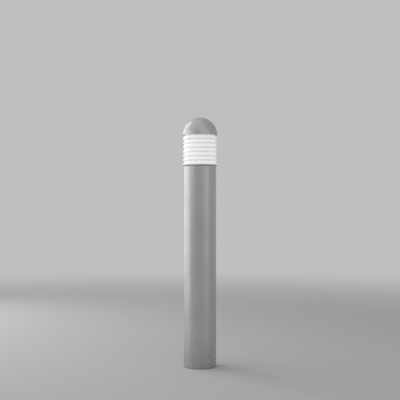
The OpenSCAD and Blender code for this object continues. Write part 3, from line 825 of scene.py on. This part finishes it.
@dataclass
class ThreadedSteel:
    """The rods that pull the cap down and the earth stud in the base, with their real threads.

    Attributes:
        radius: Outer radius of an M6 thread in metres.
        pitch: Rise of one turn.
        depth: Depth of the thread.
        rod_turns: Turns of the three rods round the post, in degrees from +X.
    """

    radius: float = 3.0 * MM
    pitch: float = 1.0 * MM
    depth: float = 0.55 * MM
    rod_turns: tuple[float, float, float] = (30.0, 150.0, 270.0)

    def build(self, shelf: FinishShelf) -> None:
        """Makes the three tie rods and the earth stud in place of their solids.

        Args:
            shelf: The finishes.
        """
        low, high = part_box("tie_rods")
        reach = (high[1] - self.radius) / math.sin(math.radians(self.rod_turns[0]))
        rods = bmesh.new()
        for turn in self.rod_turns:
            place = (reach * math.cos(math.radians(turn)), reach * math.sin(math.radians(turn)))
            join(rods, self._bar(low[2], high[2], place))
        settle(make_piece("threaded_tie_rods", rods), shelf, Slot.STAINLESS, "tie_rods")
        low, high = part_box("earth_stud")
        stud = self._bar(low[2], high[2], ((low[0] + high[0]) / 2.0, (low[1] + high[1]) / 2.0))
        settle(make_piece("threaded_earth_stud", stud), shelf, Slot.STAINLESS, "earth_stud")

    def _bar(self, low: float, high: float, place: tuple[float, float]) -> bmesh.types.BMesh:
        """Makes one threaded bar at its place.

        Args:
            low: Height of the bar's lower end.
            high: Height of its upper end.
            place: X and Y of its axis.

        Returns:
            The bar as a closed bmesh.
        """
        bar = ThreadCutter(self.radius, self.pitch, self.depth).cut(low, high)
        bmesh.ops.translate(bar, verts=bar.verts, vec=(*place, 0.0))
        return bar


@dataclass
class ScrewLamp:
    """The lamp with its opal bulb and screw cap, and the threaded shell of its holder.

    Heights are measured from the tip of the lamp's contact.

    Attributes:
        pitch: Rise of one turn of the lamp's thread in metres.
        depth: Depth of the rolled wave.
        sheet: Thickness of the holder's shell.
        cap_radius: Outer radius of the screw cap.
        cap_height: Height of the cap's upper edge.
        cone_height: Height of the insulating cone's upper edge, where the thread begins.
        cone_round: Reach of the round on that edge.
        tip_radius: Radius of the contact.
        tip_height: Height of the contact.
        tip_round: Reach of the round on the contact's edge.
        collar_radius: Radius of the neck's widest point, where the globe begins.
        collar_height: Height of that point.
        steps: Segments in a full turn.
        arc_steps: Segments of the globe's outline.
    """

    pitch: float = 3.63 * MM
    depth: float = 1.1 * MM
    sheet: float = 0.6 * MM
    cap_radius: float = 13.0 * MM
    cap_height: float = 26.0 * MM
    cone_height: float = 5.0 * MM
    cone_round: float = 0.6 * MM
    tip_radius: float = 13.0 * MM / 3.0
    tip_height: float = 1.0 * MM
    tip_round: float = 0.5 * MM
    collar_radius: float = 14.0 * MM
    collar_height: float = 32.0 * MM
    steps: int = 96
    arc_steps: int = 32

    def build(self, shelf: FinishShelf) -> None:
        """Makes the lamp's four pieces and the holder's shell in place of their solids.

        Args:
            shelf: The finishes.
        """
        low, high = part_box("lamp")
        tip, top, radius = float(low[2]), float(high[2]), float(high[0])
        thread = RolledThread(self.cap_radius, self.pitch, self.depth, self.steps)
        cap = thread.cut(tip + self.cone_height, tip + self.cap_height)
        settle(make_piece("lamp_bulb", self._bulb(tip, top, radius)), shelf, Slot.LAMP_GLASS, "lamp")
        settle(make_piece("lamp_screw_cap", cap), shelf, Slot.ZINC, "lamp")
        settle(make_piece("lamp_cap_insulator", self._cone(tip)), shelf, Slot.GREY_PLASTIC, "lamp")
        settle(make_piece("lamp_tip_contact", self._contact(tip)), shelf, Slot.BRASS, "lamp")
        low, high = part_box("lamp_holder_shell")
        shell = replace(thread, radius=high[0]).roll(low[2], high[2], self.sheet)
        settle(make_piece("rolled_holder_shell", shell), shelf, Slot.BRASS, "lamp_holder_shell")

    def _cone(self, tip: float) -> bmesh.types.BMesh:
        """Makes the insulating cone between the contact and the thread.

        Args:
            tip: Height of the lamp's lower end.

        Returns:
            The cone as a closed bmesh.
        """
        foot, seat = tip + self.tip_height, tip + self.cone_height
        rim = self.cap_radius - self.depth
        cone = Turning([(0.0, foot), (self.tip_radius, foot), (rim, seat), (0.0, seat)])
        cone.round([2], self.cone_round)
        return cone.spin()

    def _contact(self, tip: float) -> bmesh.types.BMesh:
        """Makes the contact at the lamp's lower end.

        Args:
            tip: Height of the lamp's lower end.

        Returns:
            The contact as a closed bmesh.
        """
        back = tip + self.tip_height
        contact = Turning([(0.0, tip), (self.tip_radius, tip), (self.tip_radius, back), (0.0, back)])
        contact.round([1], self.tip_round)
        return contact.spin()

    def _bulb(self, tip: float, top: float, radius: float) -> bmesh.types.BMesh:
        """Makes the globe on its waisted neck, whose shoulder runs into the globe without an edge.

        Args:
            tip: Height of the lamp's lower end.
            top: Height of its upper end.
            radius: Radius of the globe.

        Returns:
            The bulb as a closed bmesh.
        """
        centre = top - radius
        collar = tip + self.collar_height
        drop = centre - collar
        reach = math.hypot(self.collar_radius, drop)
        sweep = math.pi - math.atan2(self.collar_radius, drop) - math.acos(radius / reach)
        mesh = bmesh.new()
        arc = bmesh.ops.spin(
            mesh,
            geom=[mesh.verts.new((0.0, 0.0, top))],
            cent=(0.0, 0.0, centre),
            axis=(0.0, 1.0, 0.0),
            dvec=(0.0, 0.0, 0.0),
            angle=sweep,
            steps=self.arc_steps,
        )
        last = next(item for item in arc["geom_last"] if isinstance(item, bmesh.types.BMVert))
        base = tip + self.cap_height
        for spread, height in ((self.collar_radius, collar), (self.cap_radius, base), (0.0, base)):
            corner = mesh.verts.new((spread, 0.0, height))
            mesh.edges.new((last, corner))
            last = corner
        return revolve(mesh, self.steps)


def opaque_grey(value: float) -> tuple[float, float, float, float]:
    """Returns a grey of one brightness as a colour without transparency."""
    return (value, value, value, 1.0)


@dataclass(frozen=True)
class Softbox:
    """One soft light of the studio.

    Attributes:
        name: Name of the light.
        place: Where it hangs, in metres.
        width: Width of its panel.
        height: Height of its panel.
        power: Power in watts.
    """

    name: str
    place: Point
    width: float
    height: float
    power: float

    def hang(self, target: Vector) -> None:
        """Makes the light and turns it to the target.

        Args:
            target: The point that the light faces.
        """
        data = bpy.data.lights.new(self.name, "AREA")
        data.shape = "RECTANGLE"
        data.size = self.width
        data.size_y = self.height
        data.energy = self.power
        light = bpy.data.objects.new(self.name, data)
        light.location = self.place
        light.rotation_euler = (target - Vector(self.place)).to_track_quat("-Z", "Y").to_euler()
        bpy.context.scene.collection.objects.link(light)


@dataclass
class Studio:
    """The plain floor, the soft lights, the world and the camera.

    Attributes:
        backdrop: Grey of everything behind the post.
        floor_colour: Grey of the floor near the post.
        ambient: Strength of the even light from all round.
        floor_radius: Radius of the floor.
        fade_start: Where the floor starts to fade into the backdrop.
        fade_end: Where it has faded.
        camera_distance: From the camera to the axis of the post.
        camera_height: Height of the camera above the ground.
        lens: Focal length in millimetres.
        tilt: How far the camera looks up, in degrees.
        sensor: Width of the camera's sensor in millimetres.
        aim: The point that all lights face.
        floor_sides: Number of sides of the floor's edge.
    """

    backdrop: float = 0.52
    floor_colour: float = 0.62
    ambient: float = 0.36
    floor_radius: float = 16.0
    fade_start: float = 1.2
    fade_end: float = 5.0
    camera_distance: float = 3.444
    camera_height: float = 0.659
    lens: float = 77.04
    tilt: float = 0.16
    sensor: float = 36.0
    aim: Point = (0.0, 0.0, 0.55)
    floor_sides: int = 96

    def lights(self) -> tuple[Softbox, ...]:
        """Lists the soft lights: tall ones on the left, a weak one on the right and large ones above.

        Returns:
            The lights with their places, sizes and powers.
        """
        return (
            Softbox("left_key", (-2.2, -1.6, 1.25), 0.4, 0.4, 2.5),
            Softbox("left_softbox", (-2.5, 0.1, 1.0), 1.5, 2.0, 12.8),
            Softbox("left_rear_softbox", (-1.8, 1.5, 1.5), 1.3, 3.0, 20.0),
            Softbox("right_fill", (2.1, -1.9, 1.0), 1.5, 1.8, 4.0),
            Softbox("top_softbox", (-1.0, -0.1, 2.8), 3.2, 3.2, 10.0),
            Softbox("front_top_fill", (0.8, -2.2, 2.5), 2.4, 2.2, 5.5),
        )

    def build(self) -> None:
        """Sets up the whole studio."""
        self._floor()
        self._world()
        for light in self.lights():
            light.hang(Vector(self.aim))
        self._camera()
        bpy.context.scene.view_settings.view_transform = "Standard"

    def _floor(self) -> None:
        """Makes the round floor, which fades into the backdrop far from the post."""
        mesh = bmesh.new()
        bmesh.ops.create_circle(mesh, cap_ends=True, segments=self.floor_sides, radius=self.floor_radius)
        data = bpy.data.meshes.new("studio_floor")
        mesh.to_mesh(data)
        mesh.free()
        floor = bpy.data.objects.new("studio_floor", data)
        bpy.context.scene.collection.objects.link(floor)
        floor.data.materials.append(self._floor_material())

    def _floor_material(self) -> bpy.types.Material:
        """Makes the floor's finish, matt near the post and the plain grey of the backdrop far from it.

        Returns:
            The new material.
        """
        material = bpy.data.materials.new("studio_floor")
        material.use_nodes = True
        sheet = NodeSheet(material.node_tree)
        place = sheet.add("ShaderNodeTexCoord")
        reach = sheet.add("ShaderNodeVectorMath", operation="LENGTH")
        fade = sheet.add("ShaderNodeMapRange", interpolation_type="SMOOTHSTEP")
        fade.inputs["From Min"].default_value = self.fade_start
        fade.inputs["From Max"].default_value = self.fade_end
        matt = sheet.add("ShaderNodeBsdfDiffuse")
        matt.inputs["Color"].default_value = opaque_grey(self.floor_colour)
        far = sheet.add("ShaderNodeEmission")
        far.inputs["Color"].default_value = opaque_grey(self.backdrop)
        mix = sheet.add("ShaderNodeMixShader")
        out = sheet.add("ShaderNodeOutputMaterial")
        sheet.link(place.outputs["Object"], reach.inputs[0])
        sheet.link(reach.outputs["Value"], fade.inputs["Value"])
        sheet.link(fade.outputs["Result"], mix.inputs["Fac"])
        sheet.link(matt.outputs["BSDF"], mix.inputs[1])
        sheet.link(far.outputs["Emission"], mix.inputs[2])
        sheet.link(mix.outputs["Shader"], out.inputs["Surface"])
        return material

    def _world(self) -> None:
        """Makes the world: the backdrop for what is seen and mirrored, and a dimmer light for the rest."""
        world = bpy.data.worlds.new("studio_world")
        bpy.context.scene.world = world
        world.use_nodes = True
        sheet = NodeSheet(world.node_tree)
        path = sheet.add("ShaderNodeLightPath")
        gloss = sheet.add("ShaderNodeMath", operation="MAXIMUM")
        shown = sheet.add("ShaderNodeMath", operation="MAXIMUM")
        light = sheet.add("ShaderNodeBackground")
        light.inputs["Color"].default_value = opaque_grey(self.ambient)
        seen = sheet.add("ShaderNodeBackground")
        seen.inputs["Color"].default_value = opaque_grey(self.backdrop)
        mix = sheet.add("ShaderNodeMixShader")
        out = sheet.add("ShaderNodeOutputWorld")
        sheet.link(path.outputs["Is Glossy Ray"], gloss.inputs[0])
        sheet.link(path.outputs["Is Transmission Ray"], gloss.inputs[1])
        sheet.link(gloss.outputs["Value"], shown.inputs[0])
        sheet.link(path.outputs["Is Camera Ray"], shown.inputs[1])
        sheet.link(shown.outputs["Value"], mix.inputs["Fac"])
        sheet.link(light.outputs["Background"], mix.inputs[1])
        sheet.link(seen.outputs["Background"], mix.inputs[2])
        sheet.link(mix.outputs["Shader"], out.inputs["Surface"])

    def _camera(self) -> None:
        """Makes the camera in front of the post, at the photograph's height and almost level."""
        data = bpy.data.cameras.new("front_camera")
        data.sensor_width = self.sensor
        data.lens = self.lens
        camera = bpy.data.objects.new("front_camera", data)
        camera.location = (0.0, -self.camera_distance, self.camera_height)
        camera.rotation_euler = (math.radians(90.0 + self.tilt), 0.0, 0.0)
        bpy.context.scene.collection.objects.link(camera)
        bpy.context.scene.camera = camera


def main() -> None:
    """Builds the studio, the finishes and the new pieces."""
    logging.basicConfig(level=logging.INFO, format="%(name)s: %(message)s")
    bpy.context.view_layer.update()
    Studio().build()
    shelf = FinishShelf()
    shelf.dress_solids()
    RibbedGlass().build(shelf)
    ThreadedSteel().build(shelf)
    ScrewLamp().build(shelf)


if __name__ == "__main__":
    main()
